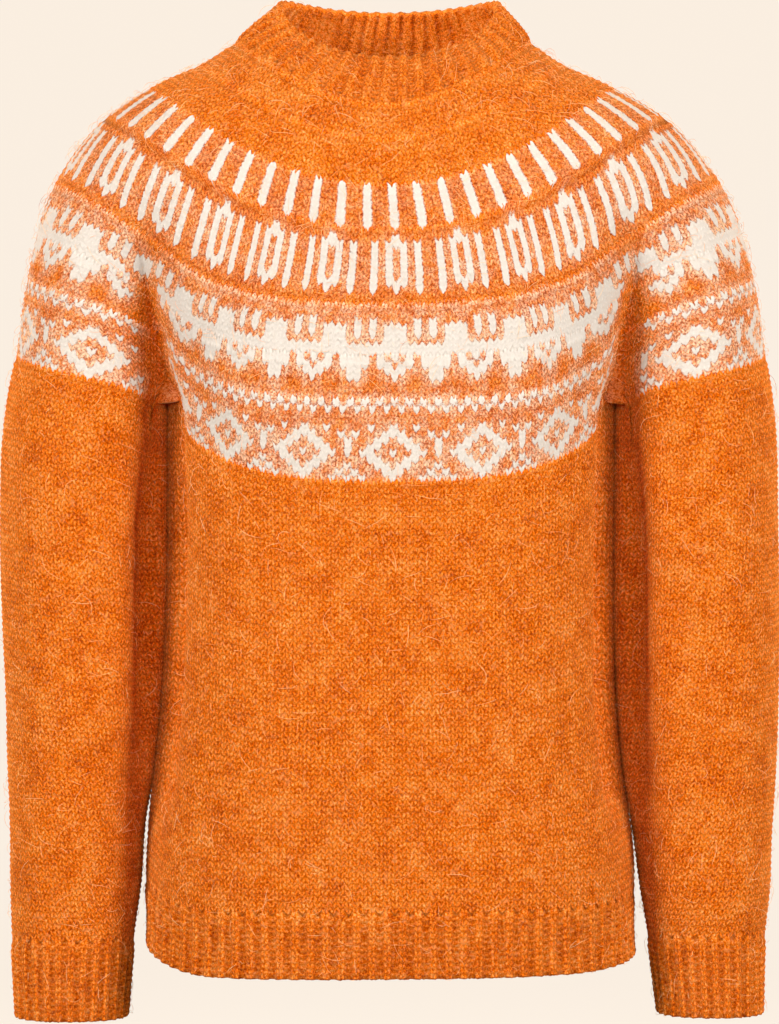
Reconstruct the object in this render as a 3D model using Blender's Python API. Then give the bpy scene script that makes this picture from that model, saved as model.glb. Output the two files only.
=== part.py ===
"""A round-yoke pullover, filled out and hollow, as ten knitted pieces.

The frame has +Z up, -Y at the front and +X at the viewer's right. The origin is the middle of the neck,
level with the front of the collar's rim. Every piece is a wall with a plain inside, and ribs are raised in
its outer points. A seam is a gap that just keeps two pieces apart.
"""

import math
from collections import namedtuple

import bmesh
import bpy
import numpy as np

# Driving dimensions, in metres.
CLOTH = 0.003
RIB_CLOTH = 0.0032
RIB_HEIGHT = 0.0013
SEAM_GAP = 0.0003
UNDERARM_GAP = 0.0004
CONTACT_GAP = 0.0010
HEM_DEPTH = 0.048
CUFF_DEPTH = 0.060
HEM_LEVEL = -0.6725
HEM_TILT = 0.002
HEM_LIFT_LEFT = 0.018
HEM_LIFT_RIGHT = 0.005
HEM_LIFT_FROM = 0.52
COLLAR_BULGE = 0.002

# How far along each path, from 0 to 1, the neck seam's slope is read above and below it.
SEAM_STEP = 0.1

# How many of each division, and how full the sections are (2 is an ellipse, more is squarer).
ARC_SPANS = 20
UNDERARM_SPANS = 6
YOKE_ROWS = 12
PANEL_ROWS = 11
SLEEVE_ROWS = 12
BAND_ROWS = 3
COLLAR_ROWS = 4
COLLAR_RIBS = 48
HEM_RIBS = 45
CUFF_RIBS = 28
BODY_FULLNESS = 2.75
SLEEVE_FULLNESS = 2.25
ARC_SAMPLES = 240

# Where the yoke divides into body and sleeves.
CREASE_Y = 0.040
CREASE_LEVEL = -0.252
CREASE_FLAT = 0.06
FRONT_SAG_POWER = 3.0
LOBE_DROP = 0.028
LOBE_DROP_POWER = 1.4
LOBE_EDGE = 0.2
LOBE_FROM = 0.42
LOBE_DEPTH = 0.072
LOBE_TUCK = 0.007
LOBE_PULL = 0.2
UNDERARM_FADE = 0.16

# Crease is the share of a quarter ring from the middle of the front to the armpit crease, or to the column
# that leads to it, and chest is how far out the crease lies.
YokeRow = namedtuple(
    "YokeRow", "path middle_x half_width side_z front_y front_z back_y back_z fullness crease chest"
)
YOKE = (
    YokeRow(0.0, -0.0060, 0.112, 0.021, 0.0980, -0.038, 0.085, 0.012, 2.05, 0.50, 0.200),
    YokeRow(0.1, -0.0070, 0.137, 0.0045, 0.1090, -0.064, 0.097, -0.011, 2.08, 0.54, 0.200),
    YokeRow(0.2, -0.0070, 0.165, -0.008, 0.1170, -0.090, 0.107, -0.036, 2.10, 0.58, 0.200),
    YokeRow(0.4, -0.0040, 0.216, -0.040, 0.1230, -0.145, 0.117, -0.096, 2.20, 0.65, 0.198),
    YokeRow(0.6, -0.0025, 0.253, -0.087, 0.1255, -0.201, 0.120, -0.158, 2.25, 0.65, 0.192),
    YokeRow(0.8, -0.0010, 0.272, -0.146, 0.1260, -0.256, 0.118, -0.221, 2.30, 0.59, 0.184),
    YokeRow(1.0, 0.0, 0.282, -0.207, 0.1250, -0.312, 0.115, -0.285, 2.30, 0.53, 0.169),
)

CollarRow = namedtuple("CollarRow", "path middle_x half_width side_z front_y front_z back_y back_z")
COLLAR = (
    CollarRow(0.0, -0.001, 0.082, 0.051, 0.072, 0.000, 0.062, 0.055),
    CollarRow(1.0, -0.006, 0.112, 0.021, 0.098, -0.038, 0.085, 0.012),
)

BodyRow = namedtuple("BodyRow", "fall left right front_y back_y")
BODY = (
    BodyRow(0.200, 0.1690, 0.1690, 0.1255, 0.1155),
    BodyRow(0.312, 0.1690, 0.1690, 0.1250, 0.1150),
    BodyRow(0.400, 0.1700, 0.1685, 0.1230, 0.1150),
    BodyRow(0.477, 0.1740, 0.1695, 0.1210, 0.1140),
    BodyRow(0.538, 0.1800, 0.1755, 0.1190, 0.1120),
    BodyRow(0.580, 0.1835, 0.1820, 0.1175, 0.1105),
    BodyRow(0.610, 0.1845, 0.1835, 0.1165, 0.1100),
    BodyRow(0.640, 0.1825, 0.1815, 0.1155, 0.1095),
    BodyRow(0.680, 0.1850, 0.1840, 0.1145, 0.1095),
)

SleeveRow = namedtuple("SleeveRow", "fall outer inner half_depth centre_y")
SLEEVE_RIGHT = (
    SleeveRow(0.207, 0.2820, 0.1620, 0.072, 0.000),
    SleeveRow(0.234, 0.2872, 0.1625, 0.072, 0.000),
    SleeveRow(0.264, 0.2905, 0.1630, 0.071, 0.000),
    SleeveRow(0.340, 0.2925, 0.1650, 0.069, -0.001),
    SleeveRow(0.416, 0.2935, 0.1680, 0.064, -0.003),
    SleeveRow(0.480, 0.2923, 0.1711, 0.060, -0.006),
    SleeveRow(0.535, 0.2898, 0.1763, 0.054, -0.010),
    SleeveRow(0.580, 0.2865, 0.1840, 0.049, -0.013),
    SleeveRow(0.617, 0.2852, 0.1888, 0.045, -0.015),
    SleeveRow(0.653, 0.2807, 0.1947, 0.038, -0.018),
    SleeveRow(0.710, 0.2783, 0.2019, 0.034, -0.022),
)
SLEEVE_LEFT = (
    SleeveRow(0.207, 0.2820, 0.1620, 0.072, 0.000),
    SleeveRow(0.234, 0.2885, 0.1625, 0.072, 0.000),
    SleeveRow(0.264, 0.2925, 0.1630, 0.071, 0.000),
    SleeveRow(0.340, 0.2955, 0.1660, 0.069, -0.001),
    SleeveRow(0.416, 0.2935, 0.1690, 0.064, -0.003),
    SleeveRow(0.480, 0.2903, 0.1730, 0.060, -0.006),
    SleeveRow(0.526, 0.2890, 0.1785, 0.055, -0.009),
    SleeveRow(0.562, 0.2870, 0.1855, 0.051, -0.012),
    SleeveRow(0.617, 0.2863, 0.1898, 0.045, -0.014),
    SleeveRow(0.653, 0.2848, 0.1947, 0.039, -0.017),
    SleeveRow(0.713, 0.2811, 0.1997, 0.034, -0.021),
)

Yarn = namedtuple("Yarn", "colour roughness")
MAIN_YARN = Yarn((0.80, 0.180, 0.018, 1.0), 0.9)
PATTERNED_YARN = Yarn((0.86, 0.420, 0.200, 1.0), 0.9)
RIB_YARN = Yarn((0.76, 0.160, 0.015, 1.0), 0.9)


def clear_scene():
    for thing in list(bpy.data.objects):
        bpy.data.objects.remove(thing, do_unlink=True)


def ease(share):
    """Runs from 0 to 1 with a level start and a level end."""
    share = np.clip(share, 0.0, 1.0)
    return share * share * (3.0 - 2.0 * share)


def follow(table, column, at):
    """Reads one column of a table, on a smooth curve over the table's first column."""
    places = np.array([row[0] for row in table])
    values = np.array([getattr(row, column) for row in table])
    slopes = np.gradient(values, places)
    at = np.clip(at, places[0], places[-1])
    span = np.clip(np.searchsorted(places, at, side="right") - 1, 0, len(places) - 2)
    width = places[span + 1] - places[span]
    t = (at - places[span]) / width
    rise = values[span] * (1 + 2 * t) * (1 - t) ** 2 + values[span + 1] * t * t * (3 - 2 * t)
    lean = slopes[span] * t * (1 - t) ** 2 - slopes[span + 1] * t * t * (1 - t)
    return rise + width * lean


def quarter_arc(half_width, depth, fullness, share):
    """The point at a share of the length of a quarter section, from its middle round to its side."""
    turn = np.linspace(0.0, math.pi / 2, ARC_SAMPLES)
    x = half_width * np.sin(turn) ** (2.0 / fullness)
    y = depth * np.cos(turn) ** (2.0 / fullness)
    run = np.concatenate([[0.0], np.cumsum(np.hypot(np.diff(x), np.diff(y)))])
    return np.interp(share, run / run[-1], x), np.interp(share, run / run[-1], y)


def round_section(half_width, front_y, back_y, fullness, turn):
    """A smooth closed section. A turn of 0 is the middle of the front and 0.25 is the viewer's right."""
    turn = (turn + 0.5) % 1.0 - 0.5
    side = np.sign(turn)
    far = np.abs(turn)
    front_x, front = quarter_arc(half_width, front_y, fullness, np.clip(far / 0.25, 0, 1))
    back_x, back = quarter_arc(half_width, back_y, fullness, np.clip((0.5 - far) / 0.25, 0, 1))
    is_front = far <= 0.25
    return side * np.where(is_front, front_x, back_x), np.where(is_front, -front, back)


def tilted_height(side_z, front_z, back_z, turn):
    """The height round a ring that lies lower or higher at its front and back than at its sides."""
    facing = np.cos(2 * math.pi * turn)
    return side_z + np.where(facing > 0, front_z - side_z, back_z - side_z) * facing**2


def crease_share():
    """The share of the body's front quarter section that lies between its middle and the armpit crease."""
    shares = np.linspace(0.0, 1.0, ARC_SAMPLES)
    _, y = quarter_arc(YOKE[-1].chest, YOKE[-1].front_y, BODY_FULLNESS, shares)
    return float(np.interp(-CREASE_Y, -y, shares))


BODY_CREASE = crease_share()


def body_section(fall, shares, signs, depth_column):
    """Points of the body's front or back at one level, at shares of each quarter."""
    half_width = np.where(signs < 0, follow(BODY, "left", fall), follow(BODY, "right", fall))
    depth = follow(BODY, depth_column, fall)
    x, y = np.vectorize(quarter_arc)(half_width, depth, BODY_FULLNESS, shares)
    return signs * x, (-y if depth_column == "front_y" else y)


def body_side(y, fall, side):
    """How far out the body's left or right side reaches at a depth and a level."""
    half_width = follow(BODY, side, fall)
    depth = np.where(y < 0, follow(BODY, "front_y", fall), follow(BODY, "back_y", fall))
    inside = np.clip(1.0 - np.abs(y / depth) ** BODY_FULLNESS, 0.0, 1.0)
    return half_width * inside ** (1.0 / BODY_FULLNESS)


def sleeve_section(table, fall, angle):
    """Points of a right-hand sleeve at one level. An angle of 0 faces the body, a quarter turn the front."""
    outer = follow(table, "outer", fall)
    inner = follow(table, "inner", fall)
    depth = follow(table, "half_depth", fall)
    middle = follow(table, "centre_y", fall)
    power = 2.0 / SLEEVE_FULLNESS
    across = np.sign(np.cos(angle)) * np.abs(np.cos(angle)) ** power
    along = np.sign(np.sin(angle)) * np.abs(np.sin(angle)) ** power
    return (outer + inner) / 2 - across * (outer - inner) / 2, middle - along * depth


CREASE_ANGLE = math.asin((CREASE_Y / LOBE_DEPTH) ** (SLEEVE_FULLNESS / 2))


def spread():
    """Shares of the columns along an arc, closer together towards the creases at its ends."""
    even = np.linspace(0.0, 1.0, ARC_SPANS + 1)
    return (even + (1.0 - np.cos(math.pi * even)) / 2) / 2


def lobe_arc(row):
    """The sleeve's part of a divided ring, from the front crease round to the back crease."""
    t = spread()
    angle = CREASE_ANGLE + t * (2 * math.pi - 2 * CREASE_ANGLE)
    power = 2.0 / SLEEVE_FULLNESS
    across = np.sign(np.cos(angle)) * np.abs(np.cos(angle)) ** power
    along = np.sign(np.sin(angle)) * np.abs(np.sin(angle)) ** power
    inner = row.chest - LOBE_TUCK
    x = (row.half_width + inner) / 2 - across * (row.half_width - inner) / 2
    y = -along * LOBE_DEPTH
    front_x, front = quarter_arc(row.chest, row.front_y, BODY_FULLNESS, BODY_CREASE)
    back_x, back = quarter_arc(row.chest, row.back_y, BODY_FULLNESS, BODY_CREASE)
    pull_front = np.clip(1 - t / LOBE_PULL, 0, 1) ** 2
    pull_back = np.clip(1 - (1 - t) / LOBE_PULL, 0, 1) ** 2
    x = x + pull_front * (front_x - x[0]) + pull_back * (back_x - x[-1])
    y = y + pull_front * (-front - y[0]) + pull_back * (back - y[-1])
    return x, y


def divided_section(row):
    """A ring of the yoke where it is fully divided into body and sleeves, in the order of yoke_turns."""
    t = 2 * spread() - 1
    front_x, front_y = quarter_arc(row.chest, row.front_y, BODY_FULLNESS, np.abs(t) * BODY_CREASE)
    back_x, back_y = quarter_arc(row.chest, row.back_y, BODY_FULLNESS, np.abs(t) * BODY_CREASE)
    lobe_x, lobe_y = lobe_arc(row)
    xs = (np.sign(t) * front_x, lobe_x, -np.sign(t) * back_x, -lobe_x[::-1])
    ys = (-front_y, lobe_y, back_y, lobe_y[::-1])
    return join_arcs(xs), join_arcs(ys)


def divided_height(row):
    """The height round a fully divided ring, level for a little way on both sides of each crease."""
    off = np.clip(np.abs(2 * spread() - 1) / (1.0 - CREASE_FLAT), 0.0, 1.0)
    crease_z = CREASE_LEVEL + (row.side_z - YOKE[-1].side_z)
    front = crease_z + (row.front_z - crease_z) * (1.0 - off**FRONT_SAG_POWER)
    back = crease_z + (row.back_z - crease_z) * (1.0 - off**FRONT_SAG_POWER)
    edge = row.side_z - LOBE_DROP
    lobe = row.side_z - LOBE_DROP * off**LOBE_DROP_POWER
    lobe = lobe + (crease_z - edge) * ease(1.0 - (1.0 - off) / LOBE_EDGE)
    return join_arcs([front, lobe, back, lobe])


def join_arcs(arcs):
    """Joins the front, right, back and left arcs of a ring, whose ends they share."""
    return np.concatenate([arc[:-1] for arc in arcs])


def yoke_turns(crease):
    """The turn of each column of the yoke: front, viewer's right sleeve, back, left sleeve."""
    share = crease * 0.25
    starts = (-share, share, 0.5 - share, 0.5 + share)
    ends = (share, 0.5 - share, 0.5 + share, 1.0 - share)
    return join_arcs([start + (end - start) * spread() for start, end in zip(starts, ends)])


def yoke_row(path):
    return YokeRow(path, *(float(follow(YOKE, name, path)) for name in YokeRow._fields[1:]))


def smooth_ring(row, fullness, turns):
    x, y = round_section(row.half_width, row.front_y, row.back_y, fullness, turns)
    z = tilted_height(row.side_z, row.front_z, row.back_z, turns)
    return np.stack([row.middle_x + x, y, z], axis=1)


def yoke_ring(path):
    """One ring of the yoke: round at the neck, and divided into body and sleeves at its lower edge."""
    row = yoke_row(path)
    smooth = smooth_ring(row, row.fullness, yoke_turns(row.crease))
    x, y = divided_section(row)
    divided = np.stack([x, y, divided_height(row)], axis=1)
    share = float(ease((path - LOBE_FROM) / (1.0 - LOBE_FROM)))
    return smooth + share * (divided - smooth)


def collar_row(path):
    """The collar flares in a slight curve from its rim to the neck seam."""
    ends = {name: (getattr(COLLAR[0], name), getattr(COLLAR[1], name)) for name in CollarRow._fields[1:]}
    mixed = {name: start + (end - start) * path for name, (start, end) in ends.items()}
    swell = COLLAR_BULGE * math.sin(math.pi * path)
    mixed["half_width"] += swell
    mixed["front_y"] += swell
    mixed["back_y"] += swell
    return CollarRow(path, **mixed)


def neck_direction(turns):
    """The way down across the neck seam, shared by the collar's edge and the yoke's edge."""
    above = smooth_ring(collar_row(1.0 - SEAM_STEP), YOKE[0].fullness, turns)
    seam = smooth_ring(yoke_row(0.0), YOKE[0].fullness, turns)
    below = smooth_ring(yoke_row(SEAM_STEP), yoke_row(SEAM_STEP).fullness, turns)
    down = unit(seam - above) + unit(below - seam)
    return unit(down)


def unit(vectors):
    return vectors / np.linalg.norm(vectors, axis=-1, keepdims=True)


DOWN = np.array([0.0, 0.0, -1.0])


def outward(grid, is_tube, first_down=None, last_down=None):
    """Unit normals of a grid whose rows run down and whose columns run round, front to viewer's right."""
    down = np.gradient(grid, axis=0)
    if first_down is not None:
        down[0] = first_down
    if last_down is not None:
        down[-1] = last_down
    if is_tube:
        across = np.roll(grid, -1, axis=1) - np.roll(grid, 1, axis=1)
    else:
        across = np.gradient(grid, axis=1)
    return unit(np.cross(down, across))


def build_wall(name, yarn, outer, inner, is_tube):
    """Makes one solid from an outer and an inner grid of points."""
    rows, columns = outer.shape[:2]
    bm = bmesh.new()
    skins = []
    for grid in (outer, inner):
        skins.append([[bm.verts.new(point) for point in row] for row in grid])
    out, into = skins
    spans = columns if is_tube else columns - 1
    for column in range(spans):
        beside = (column + 1) % columns
        for row in range(rows - 1):
            low = row + 1
            bm.faces.new((out[row][column], out[low][column], out[low][beside], out[row][beside]))
            bm.faces.new((into[row][beside], into[low][beside], into[low][column], into[row][column]))
        bm.faces.new((out[0][beside], into[0][beside], into[0][column], out[0][column]))
        bm.faces.new((out[-1][column], into[-1][column], into[-1][beside], out[-1][beside]))
    if not is_tube:
        for row in range(rows - 1):
            low = row + 1
            bm.faces.new((out[row][0], into[row][0], into[low][0], out[low][0]))
            bm.faces.new((out[low][-1], into[low][-1], into[row][-1], out[row][-1]))
    bmesh.ops.triangulate(bm, faces=bm.faces[:], quad_method="SHORT_EDGE")
    mesh = bpy.data.meshes.new(name)
    bm.to_mesh(mesh)
    bm.free()
    mesh.shade_smooth()
    mesh.set_sharp_from_angle(angle=math.radians(50))
    mesh.materials.append(yarn_material(name, yarn))
    piece = bpy.data.objects.new(name, mesh)
    bpy.context.scene.collection.objects.link(piece)
    return piece


def yarn_material(name, yarn):
    material = bpy.data.materials.new(name + "_yarn")
    material.use_nodes = True
    shader = material.node_tree.nodes["Principled BSDF"]
    shader.inputs["Base Color"].default_value = yarn.colour
    shader.inputs["Roughness"].default_value = yarn.roughness
    shader.inputs["Metallic"].default_value = 0.0
    return material


def ribbed(plain, normals, ridge):
    """Raises every other column of a band into a rib."""
    raised = plain.copy()
    raised[:, ridge::2] += normals[:, ridge::2] * RIB_HEIGHT
    return raised


def make_yoke():
    plain = np.array([yoke_ring(path) for path in np.linspace(0.0, 1.0, YOKE_ROWS)])
    normals = outward(plain, True, neck_direction(yoke_turns(YOKE[0].crease)), DOWN)
    build_wall("yoke", PATTERNED_YARN, plain, plain - normals * CLOTH, True)
    return plain


def make_collar():
    turns = np.arange(2 * COLLAR_RIBS) / (2 * COLLAR_RIBS)
    paths = np.linspace(0.0, 1.0, COLLAR_ROWS)
    plain = np.array([smooth_ring(collar_row(path), YOKE[0].fullness, turns) for path in paths])
    seam = neck_direction(turns)
    normals = outward(plain, True, None, seam)
    plain[-1] -= seam * SEAM_GAP
    build_wall("collar", RIB_YARN, ribbed(plain, normals, 0), plain - normals * RIB_CLOTH, True)


def hem_lift(signs, shares):
    """The hem and the panels' lower edges rise towards the side seams, the viewer's left one more."""
    near_side = ease((shares - HEM_LIFT_FROM) / (1.0 - HEM_LIFT_FROM))
    return np.where(signs < 0, HEM_LIFT_LEFT, HEM_LIFT_RIGHT) * near_side + HEM_TILT * signs * shares


def panel_stations():
    """Shares and signs of a panel's columns, from the viewer's left side seam to the right one."""
    arc = np.abs(2 * spread() - 1) * BODY_CREASE
    under = np.linspace(1.0, BODY_CREASE, UNDERARM_SPANS // 2 + 1)[:-1]
    shares = np.concatenate([under, arc, under[::-1]])
    signs = np.where(np.arange(len(shares)) < len(shares) // 2, -1.0, 1.0)
    return shares, signs


def panel_top(yoke_edge, depth_column):
    """The upper edge of a panel: the yoke's edge, then level along each underarm to the side seam."""
    shares, signs = panel_stations()
    start = 0 if depth_column == "front_y" else 2 * ARC_SPANS
    arc = yoke_edge[start : start + ARC_SPANS + 1]
    arc = arc if depth_column == "front_y" else arc[::-1]
    under = UNDERARM_SPANS // 2
    heights = np.concatenate([np.full(under, arc[0, 2]), arc[:, 2], np.full(under, arc[-1, 2])])
    return heights - SEAM_GAP, shares, signs


def part_side_seams(plain, depth_column):
    """Opens the side seams: the panel's outermost columns stop just short of the middle plane."""
    plain[:, (0, -1), 1] = (-0.5 if depth_column == "front_y" else 0.5) * SEAM_GAP


def make_panel(name, yoke_edge, depth_column):
    top, shares, signs = panel_top(yoke_edge, depth_column)
    bottom = HEM_LEVEL + HEM_DEPTH + SEAM_GAP + hem_lift(signs, shares)
    plain = []
    for down in np.linspace(0.0, 1.0, PANEL_ROWS):
        z = top + (bottom - top) * down
        x, y = body_section(-z, shares, signs, depth_column)
        plain.append(np.stack([x, y, z], axis=1))
    finish_panel(name, MAIN_YARN, np.array(plain), depth_column, None)


def make_hem(name, depth_column):
    t = np.linspace(-1.0, 1.0, 2 * HEM_RIBS + 1)
    shares, signs = np.abs(t), np.where(t < 0, -1.0, 1.0)
    lift = hem_lift(signs, shares)
    plain = []
    for down in np.linspace(0.0, 1.0, BAND_ROWS):
        z = HEM_LEVEL + HEM_DEPTH * (1.0 - down) + lift
        x, y = body_section(-z, shares, signs, depth_column)
        plain.append(np.stack([x, y, z], axis=1))
    finish_panel(name, RIB_YARN, np.array(plain), depth_column, 1)


def finish_panel(name, yarn, plain, depth_column, ridge):
    part_side_seams(plain, depth_column)
    is_front = depth_column == "front_y"
    plain = plain if is_front else plain[:, ::-1]
    normals = outward(plain, False, DOWN, DOWN)
    normals[:, (0, -1)] *= (1.0, 0.0, 1.0)
    normals = unit(normals)
    outer = plain if ridge is None else ribbed(plain, normals, ridge)
    cloth = CLOTH if ridge is None else RIB_CLOTH
    build_wall(name, yarn, outer, plain - normals * cloth, False)


def sleeve_angles():
    """Angles of a sleeve's columns, from the front crease round the outside, then along the underarm."""
    arc = CREASE_ANGLE + spread() * (2 * math.pi - 2 * CREASE_ANGLE)
    under = np.linspace(2 * math.pi - CREASE_ANGLE, 2 * math.pi + CREASE_ANGLE, UNDERARM_SPANS + 1)[1:-1]
    return np.concatenate([arc, under])


def clear_of_body(x, y, z, side, gap):
    """Presses the sleeve's inner side flat where it would otherwise reach into the body."""
    return np.maximum(x, body_side(y, -z, side) + gap)


def sleeve_top(yoke_edge):
    """The upper edge of a right-hand sleeve: the yoke's edge, then along the underarm beside the body."""
    arc = yoke_edge[ARC_SPANS : 2 * ARC_SPANS + 1].copy()
    arc[:, 2] -= SEAM_GAP
    shares = np.abs(np.linspace(-1.0, 1.0, UNDERARM_SPANS + 1))[1:-1]
    shares = 1.0 - shares * (1.0 - BODY_CREASE)
    back = np.arange(len(shares)) <= len(shares) // 2
    fall = -arc[0, 2]
    back_x, back_y = body_section(fall, shares, 1.0, "back_y")
    front_x, front_y = body_section(fall, shares, 1.0, "front_y")
    x = np.where(back, back_x, front_x) + UNDERARM_GAP
    y = np.where(back, back_y, front_y)
    y[len(shares) // 2] = 0.0
    under = np.stack([x, y, np.full(len(x), arc[0, 2])], axis=1)
    arc[(0, -1), 0] += UNDERARM_GAP
    return np.concatenate([arc, under])


def place_side(plain, side):
    """Mirrors a right-hand piece to the viewer's left, keeping its columns in the same round order."""
    if side == "right":
        return plain
    mirrored = plain[:, ::-1].copy()
    mirrored[..., 0] *= -1.0
    return mirrored


def make_sleeve(name, table, yoke_edge, side):
    top = sleeve_top(yoke_edge)
    bottom = -table[-1].fall + CUFF_DEPTH + SEAM_GAP
    angles = sleeve_angles()
    top_x, top_y = sleeve_section(table, -top[:, 2], angles)
    plain = []
    for down in np.linspace(0.0, 1.0, SLEEVE_ROWS) ** 1.15:
        z = top[:, 2] + (bottom - top[:, 2]) * down
        x, y = sleeve_section(table, -z, angles)
        settled = ease(down / UNDERARM_FADE)
        x = x + (top[:, 0] - top_x) * (1.0 - settled)
        y = y + (top[:, 1] - top_y) * (1.0 - settled)
        if down > 0:
            gap = UNDERARM_GAP + (CONTACT_GAP - UNDERARM_GAP) * settled
            x = clear_of_body(x, y, z, side, gap)
        plain.append(np.stack([x, y, z], axis=1))
    plain = place_side(np.array(plain), side)
    normals = outward(plain, True, DOWN, DOWN)
    build_wall(name, MAIN_YARN, plain, plain - normals * CLOTH, True)


def make_cuff(name, table, side):
    angles = 2 * math.pi * np.arange(2 * CUFF_RIBS) / (2 * CUFF_RIBS)
    top = -table[-1].fall + CUFF_DEPTH
    plain = []
    for down in np.linspace(0.0, 1.0, BAND_ROWS):
        z = np.full(len(angles), top - CUFF_DEPTH * down)
        x, y = sleeve_section(table, -z, angles)
        plain.append(np.stack([x, y, z], axis=1))
    plain = place_side(np.array(plain), side)
    normals = outward(plain, True, DOWN, DOWN)
    build_wall(name, RIB_YARN, ribbed(plain, normals, 0), plain - normals * RIB_CLOTH, True)


clear_scene()
yoke_edge = make_yoke()[-1]
make_collar()
make_panel("body_front", yoke_edge, "front_y")
make_panel("body_back", yoke_edge, "back_y")
make_hem("hem_rib_front", "front_y")
make_hem("hem_rib_back", "back_y")
make_sleeve("sleeve_right", SLEEVE_RIGHT, yoke_edge, "right")
make_sleeve("sleeve_left", SLEEVE_LEFT, yoke_edge, "left")
make_cuff("cuff_right", SLEEVE_RIGHT, "right")
make_cuff("cuff_left", SLEEVE_LEFT, "left")
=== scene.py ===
"""The looks of a round-yoke pullover in heathered orange wool, knitted stitch by stitch over its CAD frame.

Lengths are metres. Every piece of knitting starts flat, four cells wide and two cells high to a stitch, and
is bent onto its form. Stitches are counted across, and rows are counted down from a piece's upper edge.
"""

import math
from collections import namedtuple

import bmesh
import bpy
import numpy as np
from mathutils import Matrix, Vector


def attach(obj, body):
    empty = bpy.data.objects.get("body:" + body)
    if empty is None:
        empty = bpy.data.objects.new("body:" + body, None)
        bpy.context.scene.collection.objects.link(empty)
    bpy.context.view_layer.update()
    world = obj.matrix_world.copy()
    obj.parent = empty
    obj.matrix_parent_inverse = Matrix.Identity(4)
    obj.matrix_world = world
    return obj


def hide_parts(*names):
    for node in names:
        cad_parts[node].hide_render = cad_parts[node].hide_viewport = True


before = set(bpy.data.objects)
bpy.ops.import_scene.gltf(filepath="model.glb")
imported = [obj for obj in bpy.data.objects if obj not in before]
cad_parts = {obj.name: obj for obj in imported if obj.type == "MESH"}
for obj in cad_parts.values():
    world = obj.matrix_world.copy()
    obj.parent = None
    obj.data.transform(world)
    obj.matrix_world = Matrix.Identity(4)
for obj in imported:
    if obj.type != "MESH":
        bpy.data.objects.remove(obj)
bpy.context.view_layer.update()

# The collar: a mock neck in one-by-one rib, worked in the round and bound off loosely at its rim.
# Both faces of the rib show, the outside at the front and the inside at the back of the neck.
COLLAR_STITCHES = 96
COLLAR_ROWS = 11
COLLAR_FULLNESS = 2.05
COLLAR_BULGE = 0.002
COLLAR_LINING = 1
RIM_SCOOP = 1.35
RIM_SCOOP_ROUNDING = 0.02
RIM_SCOOP_LEVEL = 0.87
RIM_FRONT_LIFT = 0.0015
RIM_BACK_LIFT = 0.006
RIB_CLOTH = 0.0032
RIB_HEIGHT = 0.0027
RIB_SUNK = 0.35
# The purl columns' share of the loft, which sets both their height and their painted shade.
PURL_LOFT = 0.5
STITCH_LOFT = 0.0011
# The painted shade of a plain piece's lining, given as a loft.
LINING_PAINTED_SHADE = 0.6
STITCH_SLANT = 1.0
LEG_EDGE = 0.36
ROW_EDGE = 0.2
TUCK_ROWS = 1.1
TUCK_DEPTH = 0.0004
UNEVEN = 0.10
UNEVEN_ACROSS = 0.35
UNEVEN_DOWN = 0.4
SAME_PLACE = 2e-6
ARC_SAMPLES = 240

RingRow = namedtuple("RingRow", "path middle_x half_width side_z front_y front_z back_y back_z")
COLLAR = (
    RingRow(0.0, -0.001, 0.082, 0.051, 0.072, 0.000, 0.062, 0.055),
    RingRow(1.0, -0.006, 0.112, 0.021, 0.098, -0.038, 0.085, 0.012),
)


def quarter_arc(half_width, depth, fullness, share):
    """The point at a share of the length of a quarter section, from its middle round to its side."""
    turn = np.linspace(0.0, math.pi / 2, ARC_SAMPLES)
    x = half_width * np.sin(turn) ** (2.0 / fullness)
    y = depth * np.cos(turn) ** (2.0 / fullness)
    run = np.concatenate([[0.0], np.cumsum(np.hypot(np.diff(x), np.diff(y)))])
    return np.interp(share, run / run[-1], x), np.interp(share, run / run[-1], y)


def smooth_ring(row, fullness, turns):
    """A round of knitting at the neck. A turn of 0 is the middle of the front, 0.25 the viewer's right."""
    turns = (turns + 0.5) % 1.0 - 0.5
    far = np.abs(turns)
    front_x, front = quarter_arc(row.half_width, row.front_y, fullness, np.clip(far / 0.25, 0, 1))
    back_x, back = quarter_arc(row.half_width, row.back_y, fullness, np.clip((0.5 - far) / 0.25, 0, 1))
    is_front = far <= 0.25
    x = row.middle_x + np.sign(turns) * np.where(is_front, front_x, back_x)
    y = np.where(is_front, -front, back)
    facing = np.cos(2 * math.pi * turns)
    z = row.side_z + np.where(facing > 0, row.front_z - row.side_z, row.back_z - row.side_z) * facing**2
    return np.stack([x, y, z], axis=1)


def collar_ring(path, turns):
    """The collar flares in a slight curve. Its rim scoops low at the front and dips at the back."""
    start, end = (np.array(row) for row in COLLAR)
    swell = COLLAR_BULGE * math.sin(math.pi * path)
    mixed = RingRow(*(start + (end - start) * path))
    mixed = mixed._replace(
        half_width=mixed.half_width + swell, front_y=mixed.front_y + swell, back_y=mixed.back_y + swell
    )
    ring = smooth_ring(mixed, COLLAR_FULLNESS, turns)
    facing = np.cos(2 * math.pi * turns)
    scoop = np.sqrt(facing**2 + RIM_SCOOP_ROUNDING) - math.sqrt(RIM_SCOOP_ROUNDING)
    scoop = scoop - RIM_SCOOP_LEVEL * facing**2
    front_lift = (mixed.front_z - mixed.side_z) * RIM_SCOOP * scoop + RIM_FRONT_LIFT * facing**2
    beside_back = np.sin(math.pi * np.clip(-facing, 0, 1) ** 0.75)
    ring[:, 2] += (1 - path) ** 1.5 * np.where(facing > 0, front_lift, RIM_BACK_LIFT * beside_back)
    return ring


def cubic_weights(t):
    """How much the four grid points around a place count, on a smooth curve through them."""
    return (
        -0.5 * t + t**2 - 0.5 * t**3,
        1 - 2.5 * t**2 + 1.5 * t**3,
        0.5 * t + 2 * t**2 - 1.5 * t**3,
        -0.5 * t**2 + 0.5 * t**3,
    )


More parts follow.
